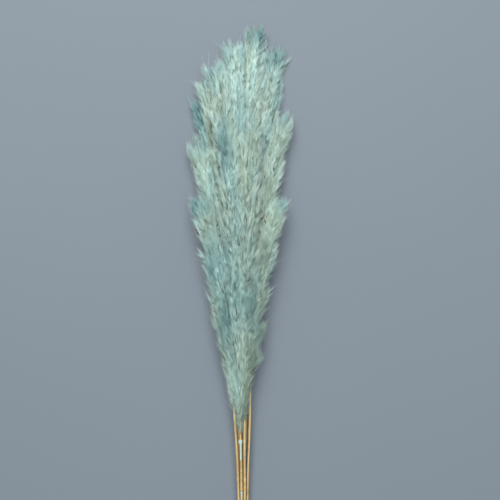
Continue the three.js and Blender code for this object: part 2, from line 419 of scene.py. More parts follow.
@dataclass(frozen=True)
class Envelope:
    """A plume's outer form: how far it reaches from its line, by station and by direction.

    Args:
        line: The plume's line, to its tip.
        stations: Y of each section.
        reach: The reach at each section in each direction.
    """

    SIDES = 10
    BLUNT = 4 * MM  # the tip's sections that reach less than this give way to one at the very tip
    TIP = 2 * MM

    line: Line
    stations: np.ndarray
    reach: np.ndarray

    @classmethod
    def of_plume(cls, node: str, culm: str) -> "Envelope":
        """Reads a plume's form from its CAD node.

        Args:
            node: The plume's node.
            culm: Its culm's node.

        Returns:
            The form.
        """
        points = node_points(node)
        line = Line.of_culm(culm).extended(points[points[:, 1].argmax()])
        stations = np.unique(points[:, 1].round(STATION_DIGITS))
        rows = []
        for y in stations:
            away = (points[np.abs(points[:, 1] - y) < RING_GAP] - line.at(np.array(y)))[:, [0, 2]]
            distance = np.hypot(*away.T)
            turn = (np.arctan2(away[:, 1], away[:, 0]) - math.pi / 2) / (2 * math.pi) * cls.SIDES
            side = turn.round().astype(int) % cls.SIDES
            row = np.zeros(cls.SIDES)
            np.maximum.at(row, side, distance)
            rows.append(row)
        keep = [i for i, row in enumerate(rows) if row.min() > 0]
        stations, rows = stations[keep], np.array(rows)[keep]
        thin = rows.max(1) < cls.BLUNT
        thin[: len(thin) // 2] = False
        stations = np.append(stations[~thin], points[:, 1].max())
        return cls(line, stations, np.vstack([rows[~thin], np.full(cls.SIDES, cls.TIP)]))

    def at(self, y: np.ndarray, turn: np.ndarray) -> np.ndarray:
        """Gives how far the plume reaches.

        Args:
            y: Stations.
            turn: Directions in radians about the line, 0 towards +X, of the same shape.

        Returns:
            The reach in metres.
        """
        i, t = between(self.stations, y)
        side = ((turn - math.pi / 2) / (2 * math.pi) * self.SIDES) % self.SIDES
        low = np.floor(side).astype(int) % self.SIDES
        high, part = (low + 1) % self.SIDES, side - np.floor(side)
        here = self.reach[i, low] * (1 - part) + self.reach[i, high] * part
        there = self.reach[i + 1, low] * (1 - part) + self.reach[i + 1, high] * part
        return here * (1 - t) + there * t


# ---- Finishes ---------------------------------------------------------------------------------------------
class Dye(Enum):
    """The dye bath's shades, each with its place on the fluff map."""

    AQUA = 0.36
    MINT = 0.54
    SAGE = 0.7

    @classmethod
    def of_node(cls, node: str) -> "Dye":
        """Reads a plume's dye from the record.

        Args:
            node: The plume's node.

        Returns:
            The dye.
        """
        slots = {part["node"]: part["material_slot"] for part in frame["record"]["subparts"]}
        return cls[slots[node].removeprefix("fluff_").upper()]


@dataclass(frozen=True)
class DyedHair:
    """Pampas hair, dip-dyed and dried: cellulose, silky but matt in the mass, with dye that took unevenly,
    and painted shade at each hair's root with a painted highlight at its tip.
    """

    # Across the map the dye goes from deep teal to pale mint to sage, and ends in the undyed branch.
    dyes: tuple[tuple[float, str], ...] = (
        (0.0, "#74aab3"),
        (0.16, "#91c3ca"),
        (0.32, "#afdade"),
        (0.46, "#c6e9e7"),
        (0.58, "#d3ede6"),
        (0.7, "#c9e0d3"),
        (0.82, "#b3c9bb"),
        (0.93, "#96ac9f"),
        (0.95, "#7c5730"),
    )
    # Along a hair the colour goes from painted shade at the root, deep in the fluff, to a painted highlight
    # at the thin tip.
    shade_depths: tuple[tuple[float, str], ...] = (
        (0.0, "#7f8a86"),
        (0.28, "#b8c1bd"),
        (0.6, "#ecf1ef"),
        (1.0, "#ffffff"),
    )
    mottle_columns: float = 260.0
    roughness: float = 0.72
    sheen: float = 0.35
    sheen_tint: str = "#dcebe4"

    def material(self) -> bpy.types.Material:
        """Builds the material from the hair's own map.

        Returns:
            The material.
        """
        material, tree, shader = new_material("dyed_pampas_hair")
        place = add_node(tree, "ShaderNodeUVMap", {"uv_map": FLUFF_MAP}).outputs["UV"]
        split = add_node(tree, "ShaderNodeSeparateXYZ", in_0=place)
        # Each hair took the dye a little differently: narrow columns of the map, a few to a branch.
        stretch = add_node(tree, "ShaderNodeMapping", in_0=place, Scale=(self.mottle_columns, 2.0, 1.0))
        mottle = add_node(
            tree,
            "ShaderNodeTexNoise",
            {"noise_dimensions": "2D"},
            Vector=stretch.outputs["Vector"],
            Scale=1.0,
            Detail=1.0,
        )
        shift = add_node(
            tree,
            "ShaderNodeMapRange",
            Value=mottle.outputs["Fac"],
            From_Min=0.25,
            From_Max=0.75,
            To_Min=0.8,
            To_Max=1.12,
        )
        dye = add_node(tree, "ShaderNodeValToRGB", Fac=split.outputs["X"])
        set_ramp(dye, self.dyes)
        # Painted shade along each hair, darkest at its root, up to a painted highlight at its tip.
        depth = add_node(tree, "ShaderNodeValToRGB", Fac=split.outputs["Y"])
        set_ramp(depth, self.shade_depths)
        deep = add_node(
            tree,
            "ShaderNodeMix",
            {"data_type": "RGBA", "blend_type": "MULTIPLY"},
            in_0=1.0,
            in_6=dye.outputs["Color"],
            in_7=depth.outputs["Color"],
        )
        mottled = add_node(
            tree,
            "ShaderNodeVectorMath",
            {"operation": "SCALE"},
            in_0=deep.outputs[2],
            Scale=shift.outputs["Result"],
        )
        # Dry cellulose hardly shines; the fine fuzz of its surface gives a pale sheen at a grazing angle.
        set_inputs(
            shader,
            Base_Color=mottled.outputs["Vector"],
            Roughness=self.roughness,
            Specular_IOR_Level=0.25,
            Sheen_Weight=self.sheen,
            Sheen_Roughness=0.5,
            Sheen_Tint=linear(self.sheen_tint),
        )
        return material


@dataclass(frozen=True)
class DriedCulm:
    """Dried grass culm: a waxy straw skin over long fibres, satin, browner on the rachis inside the plume."""

    light: str = "#bba978"
    mid: str = "#a68d5c"
    dark: str = "#776040"
    rachis: str = "#73583a"
    fibre_mm: float = 0.7  # width of a fibre streak, drawn about twice as coarse as it is so that it shows
    fibre_height: float = 0.15 * MM
    streak_mm: float = 60.0
    roughness: float = 0.42

    def material(self) -> bpy.types.Material:
        """Builds the culm's skin.

        Returns:
            The material.
        """
        material, tree, shader = new_material("dried_straw_skin")
        place = add_node(tree, "ShaderNodeTexCoord").outputs["Object"]
        across, along = 1 / (self.fibre_mm * MM), 1 / (self.streak_mm * MM)
        stretch = add_node(tree, "ShaderNodeMapping", in_0=place, Scale=(across, along, across))
        fibres = add_node(tree, "ShaderNodeTexNoise", Vector=stretch.outputs["Vector"], Scale=1.0, Detail=3.0)
        patches = add_node(tree, "ShaderNodeTexNoise", Vector=place, Scale=18.0, Detail=2.0)
        straw = add_node(tree, "ShaderNodeValToRGB", Fac=fibres.outputs["Fac"])
        set_ramp(straw, [(0.28, self.dark), (0.47, self.mid), (0.68, self.light)])
        worn = add_node(
            tree,
            "ShaderNodeMapRange",
            Value=patches.outputs["Fac"],
            From_Min=0.35,
            From_Max=0.7,
            To_Min=0.84,
            To_Max=1.1,
        )
        skin = add_node(
            tree,
            "ShaderNodeVectorMath",
            {"operation": "SCALE"},
            in_0=straw.outputs["Color"],
            Scale=worn.outputs["Result"],
        )
        # The share of the way into the plume, and the dark ring of each joint, ride on the mesh.
        inside = add_node(tree, "ShaderNodeAttribute", {"attribute_name": "browning"})
        brown = add_node(
            tree,
            "ShaderNodeMix",
            {"data_type": "RGBA"},
            in_0=inside.outputs["Fac"],
            in_6=skin.outputs["Vector"],
            in_7=linear(self.rachis),
        )
        # The fibres stand up from the wax enough to break its gleam into long lines.
        bump = add_node(
            tree, "ShaderNodeBump", Strength=0.35, Distance=self.fibre_height, Height=fibres.outputs["Fac"]
        )
        set_inputs(
            shader, Base_Color=brown.outputs[2], Normal=bump.outputs["Normal"], Roughness=self.roughness
        )
        return material


@dataclass(frozen=True)
class CulmPith:
    """The cut end's pith: dry, pale and full of pores."""

    pale: str = "#efdfb6"
    pore: str = "#c0a472"
    pore_mm: float = 0.35
    roughness: float = 0.9

    def material(self) -> bpy.types.Material:
        """Builds the pith.

        Returns:
            The material.
        """
        material, tree, shader = new_material("porous_pith")
        place = add_node(tree, "ShaderNodeTexCoord").outputs["Object"]
        cells = add_node(tree, "ShaderNodeTexVoronoi", Vector=place, Scale=1 / (self.pore_mm * MM))
        colour = add_node(tree, "ShaderNodeValToRGB", Fac=cells.outputs["Distance"])
        set_ramp(colour, [(0.1, self.pore), (0.5, self.pale)])
        set_inputs(shader, Base_Color=colour.outputs["Color"], Roughness=self.roughness)
        return material


@dataclass(frozen=True)
class PaperySheath:
    """Leaf sheath, dyed and dried: thin as paper, ribbed lengthways, paler along its ribs."""

    pale: str = "#9bbab6"
    deep: str = "#749593"
    rib_mm: float = 0.8
    rib_height: float = 0.1 * MM
    roughness: float = 0.7

    def material(self) -> bpy.types.Material:
        """Builds the sheath.

        Returns:
            The material.
        """
        material, tree, shader = new_material("papery_leaf_sheath")
        place = add_node(tree, "ShaderNodeTexCoord").outputs["Object"]
        across = 1 / (self.rib_mm * MM)
        stretch = add_node(tree, "ShaderNodeMapping", in_0=place, Scale=(across, 12.0, across))
        ribs = add_node(tree, "ShaderNodeTexNoise", Vector=stretch.outputs["Vector"], Scale=1.0, Detail=2.0)
        colour = add_node(tree, "ShaderNodeValToRGB", Fac=ribs.outputs["Fac"])
        set_ramp(colour, [(0.3, self.deep), (0.62, self.pale)])
        bump = add_node(
            tree, "ShaderNodeBump", Strength=0.4, Distance=self.rib_height, Height=ribs.outputs["Fac"]
        )
        set_inputs(
            shader,
            Base_Color=colour.outputs["Color"],
            Normal=bump.outputs["Normal"],
            Roughness=self.roughness,
        )
        return material


@dataclass(frozen=True)
class NaturalLatex:
    """Natural latex band: warm tan, satin, dulled by a little dust and stretch marks across its width."""

    fresh: str = "#c9a06a"
    dusty: str = "#d8bb8f"
    mark_mm: float = 1.2
    mark_depth: float = 0.08 * MM
    roughness: float = 0.48

    def material(self) -> bpy.types.Material:
        """Builds the latex.

        Returns:
            The material.
        """
        material, tree, shader = new_material("natural_latex")
        place = add_node(tree, "ShaderNodeTexCoord").outputs["Object"]
        dust = add_node(tree, "ShaderNodeTexNoise", Vector=place, Scale=1 / (self.mark_mm * MM), Detail=3.0)
        colour = add_node(tree, "ShaderNodeValToRGB", Fac=dust.outputs["Fac"])
        set_ramp(colour, [(0.35, self.fresh), (0.68, self.dusty)])
        bump = add_node(
            tree, "ShaderNodeBump", Strength=0.25, Distance=self.mark_depth, Height=dust.outputs["Fac"]
        )
        set_inputs(
            shader,
            Base_Color=colour.outputs["Color"],
            Normal=bump.outputs["Normal"],
            Roughness=self.roughness,
        )
        return material


@dataclass(frozen=True)
class PaleSurface:
    """Matt painted studio surface, pale blue-grey."""

    paint: str = "#626b72"
    roughness: float = 0.95

    def material(self) -> bpy.types.Material:
        """Builds the paint.

        Returns:
            The material.
        """
        material, tree, shader = new_material("matt_studio_paint")
        place = add_node(tree, "ShaderNodeTexCoord").outputs["Object"]
        cloud = add_node(tree, "ShaderNodeTexNoise", Vector=place, Scale=1.5, Detail=2.0)
        shade = add_node(tree, "ShaderNodeMapRange", Value=cloud.outputs["Fac"], To_Min=0.97, To_Max=1.03)
        colour = add_node(
            tree,
            "ShaderNodeVectorMath",
            {"operation": "SCALE"},
            in_0=linear(self.paint)[:3],
            Scale=shade.outputs["Result"],
        )
        set_inputs(
            shader, Base_Color=colour.outputs["Vector"], Roughness=self.roughness, Specular_IOR_Level=0.1
        )
        return material


# ---- Culms ------------------------------------------------------------------------------------------------
@dataclass
class Culm:
    """One culm, from its cut end to the end of its rachis: a swept round with joints and a pithy cut end.

    Args:
        number: The culm's number.
        skin: The material of its outside.
        pith: The material of its cut end.
    """

    number: int
    skin: bpy.types.Material
    pith: bpy.types.Material
    step: float = 9 * MM
    fineness: int = 6
    joint_spacing: float = 232 * MM
    first_joint: float = 0.35  # in joint spacings from the cut end
    joint_stagger: float = 0.17  # how much further up the next culm's is, until the fourth
    jointed: float = 2.2  # in joint spacings from the first joint
    joint_swell: float = 0.13
    joint_length: float = 3.2 * MM
    joint_ring: float = 1.92 * MM
    joint_brown: float = 0.6
    rachis_brown: float = 0.85
    browning: float = 60 * MM
    waver: float = 0.5 * MM
    waver_paces: tuple[float, float] = (31.0, 23.0)  # to the side and up, in radians to a metre
    waver_starts: tuple[float, float] = (2.1, 1.3)
    settled: float = 0.1  # share of the length from the cut end in which the waver sets in
    uneven: float = 0.03
    uneven_pace: float = 57.0
    pith_recess: float = 1.1 * MM
    rind: float = 0.24  # share of the radius round the pith
    facing: float = 0.7  # a face whose normal lies this much along the bundle belongs to a cut end
    line: Line = field(init=False)

    def __post_init__(self) -> None:
        """Reads the culm's line from the frame."""
        self.line = Line.of_culm(self.node)

    @property
    def node(self) -> str:
        """The CAD node's name."""
        return f"stem_{self.number:02d}"

    def joints(self) -> np.ndarray:
        """Gives Y of each joint on the bare culm."""
        start = self.first_joint + self.joint_stagger * (self.number % 4)
        return self.line.stations[0] + np.arange(start, start + self.jointed) * self.joint_spacing

    def build(self) -> bpy.types.Object:
        """Sweeps the culm along its line and sinks the pith into its cut end.

        Returns:
            The culm.
        """
        low, high = self.line.stations[[0, -1]]
        y = np.linspace(low, high, round((high - low) / self.step))
        points = self.line.at(y)
        settled = rise(y, low, low + self.settled * (high - low))
        for axis, pace, start in zip((0, 2), self.waver_paces, self.waver_starts):
            points[:, axis] += self.waver * settled * np.sin(y * pace + self.number * start)
        radii = np.interp(y, self.line.stations, self.line.radii)
        radii *= 1 + self.uneven * np.sin(y * self.uneven_pace + self.number)
        for joint in self.joints():
            radii *= 1 + self.joint_swell * bell(y, joint, self.joint_length)
        culm = swept(f"culm_{self.number:02d}", points, 1 * MM, self.fineness, radii / MM)
        self.cut(culm)
        self.brown(culm)
        return culm

    def cut(self, culm: bpy.types.Object) -> None:
        """Insets the cut end's face and pushes the pith in.

        Args:
            culm: The swept culm.
        """
        take_up(culm)
        culm.data.materials.append(self.skin)
        culm.data.materials.append(self.pith)
        bpy.ops.object.mode_set(mode="EDIT")
        bpy.ops.mesh.select_all(action="SELECT")
        bpy.ops.mesh.remove_doubles(threshold=1e-6)
        bpy.ops.mesh.normals_make_consistent(inside=False)
        bpy.ops.mesh.select_all(action="DESELECT")
        shape = bmesh.from_edit_mesh(culm.data)
        near = min(vert.co.y for vert in shape.verts) + self.step / 2
        for face in shape.faces:
            face.select_set(abs(face.normal.y) > self.facing and face.calc_center_median().y < near)
        bmesh.update_edit_mesh(culm.data)
        bpy.ops.mesh.dissolve_faces()
        bpy.ops.mesh.inset(thickness=float(self.line.radii[0]) * self.rind)
        bpy.ops.mesh.extrude_region_move(TRANSFORM_OT_translate={"value": (0, self.pith_recess, 0)})
        bpy.context.object.active_material_index = 1
        bpy.ops.object.material_slot_assign()
        bpy.ops.object.mode_set(mode="OBJECT")

    def brown(self, culm: bpy.types.Object) -> None:
        """Marks how brown the skin is: at the joints, and from the plume's base up the rachis.

        Args:
            culm: The finished mesh.
        """
        y = vertices_of(culm.data)[:, 1]
        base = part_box(f"plume_{self.number:02d}")[0].y
        share = self.rachis_brown * rise(y, base, base + self.browning)
        for joint in self.joints():
            share = np.maximum(share, self.joint_brown * bell(y, joint, self.joint_ring))
        layer = culm.data.attributes.new("browning", "FLOAT", "POINT")
        layer.data.foreach_set("value", share.astype(np.float32))

    def dress(self, culm: bpy.types.Object) -> None:
        """Gives the culm its skin and pith, with crisp edges round its ends.

        Args:
            culm: The built culm.
        """
        faces = culm.data.polygons
        places = np.empty(len(faces), np.int32)
        faces.foreach_get("material_index", places)
        finish_piece(culm, [self.skin, self.pith], "culm", self.node)
        faces.foreach_set("material_index", places)
        cut = np.array([abs(face.normal.y) > self.facing for face in faces])
        faces.foreach_set("use_smooth", (places == 0) & ~cut)


# ---- Plumes -----------------------------------------------------------------------------------------------
@dataclass(frozen=True)
class Hairs:
    """Hairs or twigs of one plume, ready to be laid.

    Args:
        roots: Where each starts.
        tips: Where each ends.
        widths: How thick each is at its root.
        tones: Its place across the fluff map.
        shade_depths: How far up the fluff map it reaches, from painted shade towards a painted highlight.
    """

    roots: np.ndarray
    tips: np.ndarray
    widths: np.ndarray
    tones: np.ndarray
    shade_depths: np.ndarray


@dataclass(frozen=True)
class DyeAndShadePool:
    """A place over the bundle where the hair is darker than elsewhere, or paler: partly where the dye stayed
    deeper, partly painted shade and painted light.

    Args:
        x: Its middle across the bundle, in millimetres.
        y: Its middle along the bundle.
        across: Half its width.
        along: Half its length.
        depth: How much darker the hair is in its middle, by deeper dye and painted shade, under 0 for paler,
            by painted light.
        tint: How far it leans to sage there, under 0 for teal.
    """

    x: float
    y: float
    across: float
    along: float
    depth: float
    tint: float

    def share_at(self, points: np.ndarray) -> np.ndarray:
        """Gives how much of the pool is felt at points, which fades away from its middle."""
        return bell(points[:, 0] / MM, self.x, self.across) * bell(points[:, 1] / MM, self.y, self.along)


# Darker and paler places over the bundle: some where the dye stayed deeper, some painted shade between plumes
# and painted light.
DYE_AND_SHADE_POOLS = (
    DyeAndShadePool(x=-28, y=330, across=7, along=62, depth=0.9, tint=-0.28),
    DyeAndShadePool(x=-34, y=395, across=6, along=26, depth=0.7, tint=0.15),
    DyeAndShadePool(x=-52, y=80, across=12, along=50, depth=0.5, tint=-0.18),
    DyeAndShadePool(x=-27, y=-25, across=9, along=45, depth=0.75, tint=-0.22),
    DyeAndShadePool(x=27, y=-15, across=10, along=70, depth=0.75, tint=-0.22),
    DyeAndShadePool(x=12, y=120, across=8, along=50, depth=0.6, tint=-0.18),
    DyeAndShadePool(x=-84, y=370, across=12, along=30, depth=0.5, tint=-0.16),
    DyeAndShadePool(x=-84, y=185, across=12, along=30, depth=0.4, tint=-0.14),
    DyeAndShadePool(x=80, y=440, across=9, along=60, depth=0.5, tint=-0.15),
    DyeAndShadePool(x=70, y=520, across=12, along=30, depth=0.5, tint=-0.15),
    DyeAndShadePool(x=72, y=320, across=8, along=45, depth=0.4, tint=-0.12),
    DyeAndShadePool(x=30, y=560, across=24, along=22, depth=0.7, tint=-0.2),
    DyeAndShadePool(x=47, y=100, across=7, along=32, depth=0.8, tint=0.12),
    DyeAndShadePool(x=-62, y=150, across=8, along=40, depth=0.6, tint=0.1),
    DyeAndShadePool(x=46, y=-80, across=11, along=36, depth=1.1, tint=0.2),
    DyeAndShadePool(x=36, y=-135, across=10, along=18, depth=1.0, tint=0.2),
    DyeAndShadePool(x=-30, y=-115, across=7, along=30, depth=0.9, tint=0.15),
    DyeAndShadePool(x=-70, y=270, across=24, along=70, depth=0.4, tint=0.0),
    DyeAndShadePool(x=-45, y=-5, across=6, along=35, depth=-0.4, tint=0.1),
    DyeAndShadePool(x=-7, y=-60, across=7, along=55, depth=-0.8, tint=0.1),
    DyeAndShadePool(x=0, y=-180, across=18, along=60, depth=-2.0, tint=0.08),
    DyeAndShadePool(x=-12, y=470, across=26, along=90, depth=-0.25, tint=0.14),
    DyeAndShadePool(x=40, y=440, across=20, along=70, depth=-0.3, tint=0.06),
    DyeAndShadePool(x=-56, y=400, across=18, along=70, depth=-0.3, tint=0.02),
)

# What sets a plume apart from the others: side ones lie closer, and some have loose locks near their base.
HABITS: dict[int, dict[str, float]] = {
    3: {"loosened": 8 * MM},
    4: {"fill": 0.84},
    7: {"loosened": 10 * MM, "fill": 0.82},
    9: {"ends": 0.968},
    10: {"loosened": 9 * MM},
}


@dataclass(frozen=True)
class HairShape:
    """One hair, modelled once: a long three-sided pyramid of length 1 along Z, with its point at the tip.

    Args:
        points: Its vertices.
        faces: Its vertex numbers, three to a face.
    """

    MAP_SPREAD = 0.0035  # how far a hair's sides stand apart on the fluff map
    MAP_FOOT = 0.02
    ASKEW = (0.013, 0.007, 0.011)  # keeps a hair that lies along an even diagonal from losing its sides

    points: np.ndarray
    faces: np.ndarray

    @classmethod
    def model(cls) -> "HairShape":
        """Models the hair.

        Returns:
            The hair's shape.
        """
        deselect_all()
        bpy.ops.mesh.primitive_cone_add(vertices=3, radius1=1, radius2=0, depth=1, location=(0, 0, 0.5))
        cone = bpy.context.object
        bpy.ops.object.transform_apply(location=True, rotation=True, scale=True)
        bpy.ops.object.mode_set(mode="EDIT")
        bpy.ops.mesh.select_all(action="SELECT")
        bpy.ops.mesh.normals_make_consistent(inside=False)
        bpy.ops.object.mode_set(mode="OBJECT")
        points = np.array([vert.co for vert in cone.data.vertices])
        faces = np.array([tuple(face.vertices) for face in cone.data.polygons])
        bpy.data.objects.remove(cone)
        return cls(points, faces)

    def lay(self, hairs: Hairs) -> tuple[np.ndarray, np.ndarray, np.ndarray]:
        """Copies the hair to every place.

        Args:
            hairs: Where the hairs go.

        Returns:
            Vertices, faces and the faces' places on the fluff map.
        """
        count, size = len(hairs.roots), len(self.points)
        along = hairs.tips - hairs.roots
        side = unit(np.cross(along, np.roll(along, 1, axis=1) + self.ASKEW))
        other = unit(np.cross(along, side))
        half = hairs.widths[:, None, None] / 2
        x, y, z = (self.points[None, :, i, None] for i in range(3))
        points = hairs.roots[:, None] + z * along[:, None] + half * (x * side[:, None] + y * other[:, None])
        faces = (np.arange(count) * size)[:, None, None] + self.faces[None]
        corners = self.points[self.faces][None]
        across = hairs.tones[:, None, None] + self.MAP_SPREAD * corners[..., 0]
        up = self.MAP_FOOT + hairs.shade_depths[:, None, None] * corners[..., 2] + self.MAP_SPREAD * corners[..., 1]
        maps = np.stack([across, up], axis=-1)
        return points.reshape(-1, 3), faces.reshape(-1, 3), maps.reshape(-1, 2)


@dataclass(frozen=True)
class Branching:
    """How the branches leave a rachis and run out to the plume's outside.

    Lengths are shares of the plume's, turns are in radians, and a pair is the least and the most.
    """

    count: int = 150
    points: int = 14
    first: float = -0.01
    last: float = 0.9
    stagger: float = 0.4  # in the spacing of the branches' feet
    crowding: float = 1.2  # over 1 for feet that crowd towards the base
    reach: float = 0.11
    low_reach: float = 0.17  # how much further the lowest ones reach
    low_fade: float = 0.7
    reaches: tuple[float, float] = (0.7, 1.2)
    turn: float = 0.35
    swirl: float = 0.15
    outwards: float = 0.4  # under 1 for more branches near the outside
    bow: float = 0.85  # under 1 for branches that leave the rachis fast and then lie along the outside
    round_tip: float = 0.05
    ragged_tip: float = 0.015
    wave: float = 0.9 * MM
    waves: tuple[float, float] = (3.0, 7.0)
    wave_start: float = 5.0
    clear: float = 2 * MM  # over the surface


@dataclass(frozen=True)
class Clothing:
    """How hairs clothe the branches in tufts, with a few long wisps. A pair is the least and the most."""

    tufts: int = 60  # to a branch
    hairs: int = 4  # to a tuft
    quick_cut: int = 3
    lowest: float = 0.02
    spacing: float = 0.85  # under 1 for more tufts near the branch's end
    root_spread: float = 0.6 * MM
    length: float = 25 * MM
    lengths: tuple[float, float] = (0.55, 1.3)  # of tufts, in lengths
    own_lengths: tuple[float, float] = (0.75, 1.1)  # of hairs, in their tuft's
    width: float = 0.72 * MM
    widths: tuple[float, float] = (0.6, 1.25)
    lean: float = 34.0  # away from the branch, in degrees
    end_lean: float = 20.0
    leans: tuple[float, float] = (0.15, 1.15)
    sideways: float = 0.5  # how much a tuft's side is ruled by the plume's outside
    outwards: float = 0.6
    spread: float = 0.06
    wisps: int = 90
    wisp_leans: tuple[float, float] = (18.0, 42.0)
    wisp_lengths: tuple[float, float] = (26.0, 58.0)  # in millimetres, as are the widths
    wisp_widths: tuple[float, float] = (0.5, 1.2)


@dataclass(frozen=True)
class DyeAndShade:
    """How the dye took, and the light and shade painted into the hair. Heights are shares of the bundle's
    length from the cut ends.

    The tone goes from 0 for teal to 1 for undyed, and the depth from 0 for dark painted shade to 1 for a pale
    painted highlight.
    """

    branch_tone: float = 0.06
    tuft_tone: float = 0.05
    tip_from: float = 0.88  # share of the plume's length
    tip_teal: float = 0.3
    tip_deep: float = 0.45
    teal_belt: tuple[float, float] = (0.7, 0.5)
    teal: float = 0.1
    sage_belt: tuple[float, float] = (0.48, 0.34)
    sage: float = 0.17
    even_from: float = 0.5  # above this height the dye and the painted shade are more even, and below it less
    even_over: float = 0.3
    least_even: float = -0.6
    patch_tone: float = 0.17
    even_tone: float = 0.05
    patch_depth: float = 0.26
    even_depth: float = 0.1
    branch_depth: float = 0.5
    tuft_depth: float = 0.55
    depth_evener: float = 0.7
    # Painted shade towards the cut ends and painted light towards the plumes' tips, by height.
    lowest_light: float = 0.12
    light_by_height: float = 1.14
    most_light: float = 0.9
    pool_depth: float = 0.6
    locks: int = 6  # painted light on locks round the plume, with painted shade on the darker ones between them
    lock_shading: float = 0.44
    lock_evener: float = 0.8
    lock_length: float = 62 * MM
    lock_sway: float = 1.4
    lock_start: float = 2.0
    tones: tuple[float, float] = (0.02, 0.92)
    shade_depths: tuple[float, float] = (0.04, 0.96)
    tone_patches: Unevenness = Unevenness(1.0)
    depth_patches: Unevenness = Unevenness(4.0)


@dataclass(frozen=True)
class Twigs:
    """The undyed branches themselves, and bare bits of them near the outside. A pair is least and most."""

    width: float = 1.0 * MM
    taper: float = 0.75
    overlap: float = 0.35
    tone: float = 0.985
    # How far the twigs reach up the painted shade along a hair, from its dark root.
    depth: float = 0.5
    bits: int = 8
    bit_places: tuple[float, float] = (0.1, 0.8)
    bit_width: float = 3 * MM
    bit_lengths: tuple[float, float] = (14.0, 28.0)  # in millimetres
    bit_proud: float = 1 * MM
    bit_course: tuple[float, float] = (0.5, 0.84)  # outwards and along
    clear: float = 2 * MM  # over the surface


